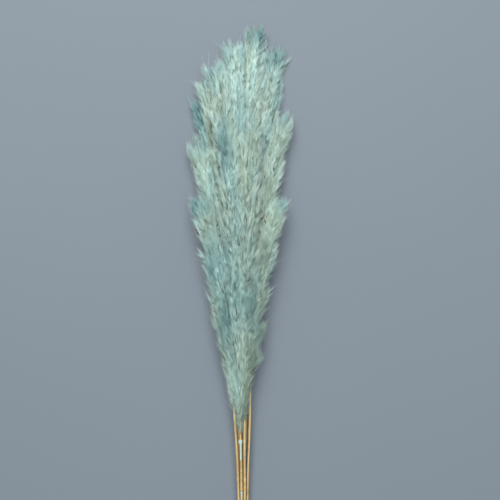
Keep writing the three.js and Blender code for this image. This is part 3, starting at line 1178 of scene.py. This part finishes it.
@dataclass
class Plume:
    """One plume: branches that leave the rachis in turn, each clothed in hairs.

    Args:
        number: The plume's number.
        hair: The hair's material.
        shape: The hair's shape.
        fill: How much of the CAD form's reach its outermost branches take up.
        ends: The share of its length at which they end.
        loosened: How far locks hang out of its right side near its base.
    """

    number: int
    hair: bpy.types.Material
    shape: HairShape
    fill: float = 0.93
    ends: float = 1.005
    loosened: float = 0.0
    lock_place: float = 0.2
    lock_span: float = 0.12
    lock_pitch: float = 9 * MM
    blunt: float = 0.88  # share of the length past which it no longer narrows
    flare: float = 0.2  # how much wider than the CAD form a high one opens near its tip
    flare_heights: tuple[float, float] = (0.4, 0.5)
    flare_span: tuple[float, float] = (0.5, 0.85)
    floor_gap: float = 0.5 * MM
    proud: float = 12 * MM
    seed: int = 410
    branching: Branching = Branching()
    clothing: Clothing = Clothing()
    dye_and_shade: DyeAndShade = DyeAndShade()
    twigs: Twigs = Twigs()
    envelope: Envelope = field(init=False)
    dye: Dye = field(init=False)

    def __post_init__(self) -> None:
        """Reads the plume's form and dye from the frame."""
        self.envelope = Envelope.of_plume(self.node, f"stem_{self.number:02d}")
        self.dye = Dye.of_node(self.node)

    @property
    def node(self) -> str:
        """The CAD node's name."""
        return f"plume_{self.number:02d}"

    def reach_at(self, y: np.ndarray, turn: np.ndarray) -> np.ndarray:
        """Gives how far the branches may reach: the CAD form, opened near a high tip and loosened low down.

        Args:
            y: Stations.
            turn: Directions about the plume's line.

        Returns:
            The reach in metres.
        """
        low, high = self.envelope.stations[[0, -1]]
        share = (y - low) / (high - low)
        reach = self.envelope.at(np.minimum(y, low + self.blunt * (high - low)), turn)
        reach *= 1 + self.flare * rise(high, *self.flare_heights) * rise(share, *self.flare_span)
        lumps = np.clip(np.cos(turn), 0, 1) * (1 + np.sin(y / self.lock_pitch))
        return reach + self.loosened * lumps * bell(share, self.lock_place, self.lock_span)

    def grow_branches(self, rng: np.random.Generator) -> np.ndarray:
        """Grows the branches: each leaves the rachis, runs up and out, and lies along the plume's outside.

        Args:
            rng: The plume's random numbers.

        Returns:
            The branches' points.
        """
        habit, count = self.branching, self.branching.count
        low, high = self.envelope.stations[[0, -1]]
        k = np.arange(count)
        even = (k + rng.uniform(-habit.stagger, habit.stagger, count)).clip(0) / count
        foot = habit.first + (habit.last - habit.first) * even**habit.crowding
        reach = habit.reach + habit.low_reach * (1 - foot) ** habit.low_fade
        reach *= rng.uniform(*habit.reaches, count)
        turn = k * GOLDEN_ANGLE + rng.uniform(-habit.turn, habit.turn, count)
        out = self.fill * rng.uniform(0.0, 1.0, count) ** habit.outwards
        most = self.ends - habit.round_tip * out**2 - rng.uniform(0, habit.ragged_tip, count)
        reach = np.minimum(reach, most - foot)
        t = np.linspace(0, 1, habit.points)[None]
        y = low + (high - low) * (foot[:, None] + reach[:, None] * t)
        swirl = turn[:, None] + rng.uniform(-habit.swirl, habit.swirl, count)[:, None] * t
        radial = out[:, None] * t**habit.bow * self.reach_at(y, swirl)
        paces = rng.uniform(*habit.waves, count)
        wave = habit.wave * np.sin(t * paces[:, None] + habit.wave_start * turn[:, None]) * t
        points = self.envelope.line.at(y)
        points[..., 0] += radial * np.cos(swirl) + wave * np.sin(swirl)
        points[..., 2] += radial * np.sin(swirl) - wave * np.cos(swirl)
        points[..., 2] = np.maximum(points[..., 2], habit.clear)
        return points

    def grow_hairs(self, branches: np.ndarray, rng: np.random.Generator) -> Hairs:
        """Grows the hairs along the branches, and a few long wisps.

        Args:
            branches: The branches' points.
            rng: The plume's random numbers.

        Returns:
            The hairs.
        """
        habit = self.clothing
        branch_count, branch_points = branches.shape[:2]
        tufts = branch_count * habit.tufts
        per_tuft = np.where(np.arange(tufts + habit.wisps) < tufts, habit.hairs, 1)
        groups = len(per_tuft)
        tuft = np.repeat(np.arange(groups), per_tuft)
        total, wisp = len(tuft), slice(len(tuft) - habit.wisps, None)

        which = rng.integers(0, branch_count, groups)[tuft]
        t = (rng.uniform(habit.lowest, 1.0, groups) ** habit.spacing)[tuft]
        spot = t * (branch_points - 1)
        i = np.minimum(spot.astype(int), branch_points - 2)
        start, stop = branches[which, i], branches[which, i + 1]
        roots = start + (spot - i)[:, None] * (stop - start) + rng.normal(0, habit.root_spread, (total, 3))
        forward = unit(stop - start)
        outward = unit(roots - self.envelope.line.at(roots[:, 1]))
        side = unit(np.cross(forward, rng.normal(size=(groups, 3))[tuft] + habit.sideways * outward))
        away = unit(unit(np.cross(side, forward)) + habit.outwards * outward)
        lean = np.radians(habit.lean + (habit.end_lean - habit.lean) * t)
        lean *= rng.uniform(*habit.leans, groups)[tuft]
        length = habit.length * rng.uniform(*habit.lengths, groups)[tuft]
        length *= rng.uniform(*habit.own_lengths, total)
        width = habit.width * rng.uniform(*habit.widths, total)
        lean[wisp] = np.radians(rng.uniform(*habit.wisp_leans, habit.wisps))
        length[wisp] = rng.uniform(*habit.wisp_lengths, habit.wisps) * MM
        width[wisp] = rng.uniform(*habit.wisp_widths, habit.wisps) * MM
        course = forward * np.cos(lean)[:, None] + away * np.sin(lean)[:, None]
        course = unit(course + rng.normal(0, habit.spread, (total, 3)))
        tones, shade_depths = self.dye_and_shade_hairs(which, tuft, roots, rng)
        return Hairs(*self.keep_in(roots, roots + length[:, None] * course), width, tones, shade_depths)

    def keep_in(self, roots: np.ndarray, tips: np.ndarray) -> tuple[np.ndarray, np.ndarray]:
        """Keeps hairs on the surface and near the bundle's box.

        Args:
            roots: The hairs' roots.
            tips: The hairs' tips.

        Returns:
            The roots and the tips.
        """
        low, high = (np.array(corner) for corner in CAD_BOX)
        low, high = low - self.proud, high + self.proud
        low[2] = self.floor_gap
        return np.clip(roots, low, high), np.clip(tips, low, high)

    def dye_and_shade_hairs(
        self, which: np.ndarray, tuft: np.ndarray, roots: np.ndarray, rng: np.random.Generator
    ) -> tuple[np.ndarray, np.ndarray]:
        """Gives each hair its dye and its painted shade: the plume's own dye, shifted by branch, by tuft and
        towards the plume's tip, and painted shade towards the cut ends, in some pools and between locks.

        Args:
            which: The branch that each hair grows on.
            tuft: The tuft that each hair grows in.
            roots: The hairs' roots.
            rng: The plume's random numbers.

        Returns:
            The hairs' places across the fluff map, and how far up it each one reaches, from painted shade
            towards a painted highlight.
        """
        habit, branch_count, groups = self.dye_and_shade, self.branching.count, tuft[-1] + 1
        low, high = self.envelope.stations[[0, -1]]
        tip = rise((roots[:, 1] - low) / (high - low), habit.tip_from, 1)
        height = (roots[:, 1] - CAD_BOX[0][1]) / (CAD_BOX[1][1] - CAD_BOX[0][1])
        evener = np.clip((height - habit.even_from) / habit.even_over, habit.least_even, 1)
        shares = np.array([pool.share_at(roots) for pool in DYE_AND_SHADE_POOLS])
        pooled_dye_and_shade = np.array([pool.depth for pool in DYE_AND_SHADE_POOLS]) @ shares
        tinted = np.array([pool.tint for pool in DYE_AND_SHADE_POOLS]) @ shares

        tones = self.dye.value + tinted - habit.tip_teal * tip
        tones += rng.normal(0, habit.branch_tone, branch_count)[which]
        tones += rng.normal(0, habit.tuft_tone, groups)[tuft]
        tones += habit.sage * rise(height, *habit.sage_belt) - habit.teal * rise(height, *habit.teal_belt)
        tones += (habit.patch_tone - habit.even_tone * evener) * habit.tone_patches.at(roots)

        by_branch = 1 - habit.branch_depth * (1 - rng.uniform(0, 1, branch_count)[which])
        by_tuft = 1 - habit.tuft_depth * (1 - rng.uniform(0, 1, groups)[tuft])
        shade_depths = (by_branch * by_tuft) ** (1 - habit.depth_evener * evener)
        # Painted shade: hairs lower on the bundle, towards the cut ends, are darker, and higher ones lighter,
        # as the light falls.
        shade_depths *= np.clip(habit.lowest_light + habit.light_by_height * height, 0, habit.most_light)
        # The pools deepen or pale the hair: partly dye, partly painted shade and painted light.
        shade_depths *= (1 - habit.tip_deep * tip) * (1 - habit.pool_depth * pooled_dye_and_shade)
        shade_depths *= 1 + (habit.patch_depth - habit.even_depth * evener) * habit.depth_patches.at(roots)
        # Painted light on some locks round the plume and painted shade on the locks between them.
        shade_depths *= 1 + habit.lock_shading * (1 - habit.lock_evener * evener) * self.lock_shading_at(roots)
        return np.clip(tones, *habit.tones), np.clip(shade_depths, *habit.shade_depths)

    def lock_shading_at(self, roots: np.ndarray) -> np.ndarray:
        """Tells locks with painted light from those with painted shade between them, in long strands that
        sway along the plume.

        Args:
            roots: The hairs' roots.

        Returns:
            A value from -1 in the locks with painted shade to 1 in those with painted light.
        """
        habit = self.dye_and_shade
        away = roots - self.envelope.line.at(roots[:, 1])
        around = np.arctan2(away[:, 2], away[:, 0])
        sway = habit.lock_sway * np.sin(roots[:, 1] / habit.lock_length + self.number)
        return np.sin(habit.locks * around + sway + habit.lock_start * self.number)

    def lay_twigs(self, branches: np.ndarray, rng: np.random.Generator) -> Hairs:
        """Runs a thin undyed twig up each branch, and lays a few bare bits of branch near the outside.

        Args:
            branches: The branches' points.
            rng: The plume's random numbers.

        Returns:
            The twigs.
        """
        habit, bits = self.twigs, self.twigs.bits
        steps = branches[:, ::2]
        ahead = steps[:, 1:] - steps[:, :-1]
        taper = 1 - habit.taper * np.linspace(0, 1, ahead.shape[1])
        y = rng.uniform(*np.quantile(self.envelope.stations, habit.bit_places), bits)
        turn = rng.uniform(0, 2 * math.pi, bits)
        outward = np.column_stack([np.cos(turn), 0 * turn, np.sin(turn)])
        roots = self.envelope.line.at(y) + (self.envelope.at(y, turn) + habit.bit_proud)[:, None] * outward
        course = unit(habit.bit_course[0] * outward + [0, habit.bit_course[1], 0])
        tips = roots + rng.uniform(*habit.bit_lengths, bits)[:, None] * MM * course
        for ends in (roots, tips):
            ends[:, 2] = np.maximum(ends[:, 2], habit.clear)
        roots, tips = self.keep_in(roots, tips)
        total = ahead.shape[0] * ahead.shape[1] + bits
        return Hairs(
            np.vstack([steps[:, :-1].reshape(-1, 3), roots]),
            np.vstack([(steps[:, 1:] + habit.overlap * ahead).reshape(-1, 3), tips]),
            np.append(np.tile(habit.width * taper, len(steps)), np.full(bits, habit.bit_width)),
            np.full(total, habit.tone),
            np.full(total, habit.depth),
        )

    def build(self) -> bpy.types.Object:
        """Builds the plume's branches and hairs as one piece.

        Returns:
            The plume.
        """
        rng = np.random.default_rng(self.seed + self.number)
        branches = self.grow_branches(rng)
        hairs = self.shape.lay(self.grow_hairs(branches, rng))
        twigs = self.shape.lay(self.lay_twigs(branches, rng))
        points = np.vstack([hairs[0], twigs[0]])
        faces = np.vstack([hairs[1], twigs[1] + len(hairs[0])])
        maps = np.vstack([hairs[2], twigs[2]])
        return mesh_object(f"plume_fluff_{self.number:02d}", points, faces, maps)

    def dress(self, plume: bpy.types.Object) -> None:
        """Gives the plume its dyed hair.

        Args:
            plume: The built plume.
        """
        finish_piece(plume, [self.hair], f"fluff_{self.dye.name.lower()}", self.node)


# ---- Leaf sheath ------------------------------------------------------------------------------------------
@dataclass
class SheathScrap:
    """A scrap of leaf sheath that stayed on its culm: a thin curved strip, torn at its edges.

    Args:
        number: The scrap's number.
        culm: The number of the culm that it lies on.
        sheath: The sheath's material.
        most: Half the arc that it wraps at its top, in degrees.
    """

    number: int
    culm: int
    sheath: bpy.types.Material
    most: float = 82.0
    least: float = 20.0
    wide_part: tuple[float, float] = (0.8, 0.88)  # shares of its length between which it widens
    rows: int = 26
    columns: int = 9
    thickness: float = 0.25 * MM
    lift: float = 0.3 * MM
    edge_lift: float = 1.2 * MM
    foot_lift: float = 0.8 * MM
    tear: float = 0.22
    tears: int = 14
    crisp: float = 40.0  # edges sharper than this many degrees stay crisp
    seed: int = 70

    @property
    def node(self) -> str:
        """The CAD node's name."""
        return f"sheath_scrap_{self.number}"

    def build(self) -> bpy.types.Object:
        """Bends a grid round the culm, tears its edges and gives it a thickness.

        Returns:
            The scrap.
        """
        low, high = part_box(self.node)
        line = Line.of_culm(f"stem_{self.culm:02d}")
        rng = np.random.default_rng(self.seed + self.number)
        deselect_all()
        bpy.ops.mesh.primitive_grid_add(x_subdivisions=self.columns, y_subdivisions=self.rows, size=2)
        scrap = bpy.context.object
        scrap.name = scrap.data.name = f"leaf_sheath_{self.number}"
        u, v, _ = vertices_of(scrap.data).T
        share = (v + 1) / 2
        torn = np.interp(share, np.linspace(0, 1, self.tears), rng.uniform(-1, 1, self.tears))
        y = low.y + (high.y - low.y) * share
        half = np.radians(self.least + (self.most - self.least) * rise(share, *self.wide_part))
        half *= 1 + self.tear * torn * np.abs(u)
        curl = self.lift + self.edge_lift * np.abs(u) ** 3 * share**2 + self.foot_lift * (1 - share) ** 4
        radius = np.interp(y, line.stations, line.radii) + curl
        bent = line.at(y) + np.column_stack([radius * np.sin(u * half), 0 * y, radius * np.cos(u * half)])
        scrap.data.vertices.foreach_set("co", bent.ravel())
        scrap.data.update()
        take_up(scrap)
        wall = scrap.modifiers.new("wall", "SOLIDIFY")
        wall.thickness = self.thickness
        wall.offset = 1
        bpy.ops.object.modifier_apply(modifier=wall.name)
        bpy.ops.object.shade_smooth_by_angle(angle=math.radians(self.crisp))
        return scrap

    def dress(self, scrap: bpy.types.Object) -> None:
        """Gives the scrap its papery finish.

        Args:
            scrap: The built scrap.
        """
        finish_piece(scrap, [self.sheath], "leaf_sheath", self.node)


# ---- The band ---------------------------------------------------------------------------------------------
@dataclass
class WoundBand:
    """The elastic band: a few tight turns round the culms, side by side, with one crossing over them.

    Args:
        latex: The band's material.
    """

    latex: bpy.types.Material
    node: str = "elastic_band"
    turns: int = 4
    cord: float = 1.25 * MM
    fineness: int = 2
    parts: int = 48  # to a turn
    pitch: float = 1.08  # in cords
    crossing: float = 0.75  # share of a turn in which the last one crosses back to the first
    over: float = 0.9  # how far the crossing rides over the others, in cords

    def outline(self) -> np.ndarray:
        """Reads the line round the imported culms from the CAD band.

        Returns:
            X and Z of points in turn round the culms, half a cord out from them.
        """
        points = node_points(self.node)[:, [0, 2]]
        middle = (points.max(0) + points.min(0)) / 2
        away = points - middle
        turn = np.arctan2(away[:, 1], away[:, 0])
        reach = np.hypot(*away.T)
        edges = np.linspace(-math.pi, math.pi, self.parts + 1)
        part = np.digitize(turn, edges) - 1
        inner = [reach[part == i].min() if (part == i).any() else math.nan for i in range(self.parts)]
        inner = np.array(inner)
        centres = (edges[1:] + edges[:-1]) / 2
        known = ~np.isnan(inner)
        radius = np.interp(centres, centres[known], inner[known], period=2 * math.pi) + self.cord / 2
        return middle + np.column_stack([radius * np.cos(centres), radius * np.sin(centres)])

    def build(self) -> bpy.types.Object:
        """Winds the cord round the culms.

        Returns:
            The band.
        """
        low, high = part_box(self.node)
        ring = self.outline()
        middle = ring.mean(0)
        share = np.linspace(0, 1, self.parts, endpoint=False)
        rows = []
        for turn in range(self.turns):
            place = turn - (self.turns - 1) / 2 + share - 0.5
            y = (low.y + high.y) / 2 + place * self.cord * self.pitch
            rows.append(np.column_stack([ring[:, 0], y, ring[:, 1]]))
        back = np.linspace(0, 1, int(self.parts * self.crossing))[1:-1]
        away = ring[(back * self.parts).astype(int) % self.parts] - middle
        away = away * (1 + self.cord * self.over / np.hypot(*away.T))[:, None]
        y = rows[-1][-1, 1] + (rows[0][0, 1] - rows[-1][-1, 1]) * back
        rows.append(np.column_stack([middle[0] + away[:, 0], y, middle[1] + away[:, 1]]))
        return swept("wound_latex_band", np.vstack(rows), self.cord / 2, self.fineness)

    def dress(self, band: bpy.types.Object) -> None:
        """Gives the band its latex.

        Args:
            band: The built band.
        """
        finish_piece(band, [self.latex], "latex", self.node)


# ---- Studio -----------------------------------------------------------------------------------------------
@dataclass
class Studio:
    """A plain surface, a soft lamp past the plumes' tips, an even ceiling and a camera straight above.

    Args:
        surface: The surface's material.
    """

    surface: bpy.types.Material
    floor_size: float = 60.0
    looks_at: tuple[float, float, float] = (20 * MM, 125 * MM, 60 * MM)
    key_place: tuple[float, float, float] = (-0.15, 1.5, 2.0)
    key_size: float = 1.2
    key_watts: float = 64.0
    key_colour: str = "#fff8f0"
    ceiling_strength: float = 3.7
    ceiling_width: float = 0.7  # how wide it looks, in radians
    ceiling_course: tuple[float, float, float] = (0.02, -0.08, -1.0)
    ceiling_colour: str = "#f9f9fd"
    world: str = "#a9b4bd"
    world_strength: float = 0.55
    camera_height: float = 2.8
    view_width: float = 1.0
    sensor: float = 36.0

    def build(self) -> None:
        """Sets up the surface, the lights and the camera."""
        deselect_all()
        bpy.ops.mesh.primitive_plane_add(size=self.floor_size, location=(0, 0, 0))
        floor = bpy.context.object
        floor.name = "studio_surface"
        floor.data.materials.append(self.surface)
        self.lights()
        scene = bpy.context.scene
        scene.world = bpy.data.worlds.new("soft_grey")
        scene.world.use_nodes = True
        background = scene.world.node_tree.nodes["Background"]
        set_inputs(background, Color=linear(self.world), Strength=self.world_strength)
        scene.view_settings.view_transform = "Standard"
        self.camera()

    def lights(self) -> None:
        """Hangs the lamp past the tips, and lights the whole surface evenly from the ceiling."""
        key = bpy.data.lights.new("key", "AREA")
        key.size, key.energy, key.color = self.key_size, self.key_watts, linear(self.key_colour)[:3]
        self.hang(key, self.key_place, Vector(self.looks_at) - Vector(self.key_place))
        ceiling = bpy.data.lights.new("ceiling", "SUN")
        ceiling.energy, ceiling.angle = self.ceiling_strength, self.ceiling_width
        ceiling.color = linear(self.ceiling_colour)[:3]
        self.hang(ceiling, (0, 0, 0), Vector(self.ceiling_course))

    def hang(self, lamp: bpy.types.Light, place: tuple[float, float, float], course: Vector) -> None:
        """Hangs a lamp.

        Args:
            lamp: The lamp.
            place: Where it hangs.
            course: Which way it shines.
        """
        obj = bpy.data.objects.new(lamp.name, lamp)
        obj.location = place
        obj.rotation_euler = course.to_track_quat("-Z", "Y").to_euler()
        bpy.context.scene.collection.objects.link(obj)

    def camera(self) -> None:
        """Hangs the camera over the bundle, looking straight down, with the plumes' tips at the top."""
        data = bpy.data.cameras.new("camera")
        data.sensor_width = self.sensor
        data.lens = self.sensor * (self.camera_height - self.looks_at[2]) / self.view_width
        obj = bpy.data.objects.new("camera", data)
        obj.location = (self.looks_at[0], self.looks_at[1], self.camera_height)
        bpy.context.scene.collection.objects.link(obj)
        bpy.context.scene.camera = obj


# ---- Assembly ---------------------------------------------------------------------------------------------
def main() -> None:
    """Builds the bundle and its studio."""
    logging.basicConfig(level=logging.INFO, format="%(message)s")
    Studio(PaleSurface().material()).build()
    skin, pith, hair = DriedCulm().material(), CulmPith().material(), DyedHair().material()
    shape = HairShape.model()
    numbers = range(1, sum(name.startswith("stem_") for name in frame["nodes"]) + 1)
    for number in numbers:
        culm = Culm(number, skin, pith)
        culm.dress(culm.build())
    for number in numbers:
        plume = Plume(number, hair, shape, **HABITS.get(number, {}))
        plume.dress(plume.build())
    sheath = PaperySheath().material()
    for scrap in (
        SheathScrap(number=1, culm=11, sheath=sheath),
        SheathScrap(number=2, culm=11, sheath=sheath, most=34.0),
    ):
        scrap.dress(scrap.build())
    band = WoundBand(NaturalLatex().material())
    band.dress(band.build())


if __name__ == "__main__":
    main()
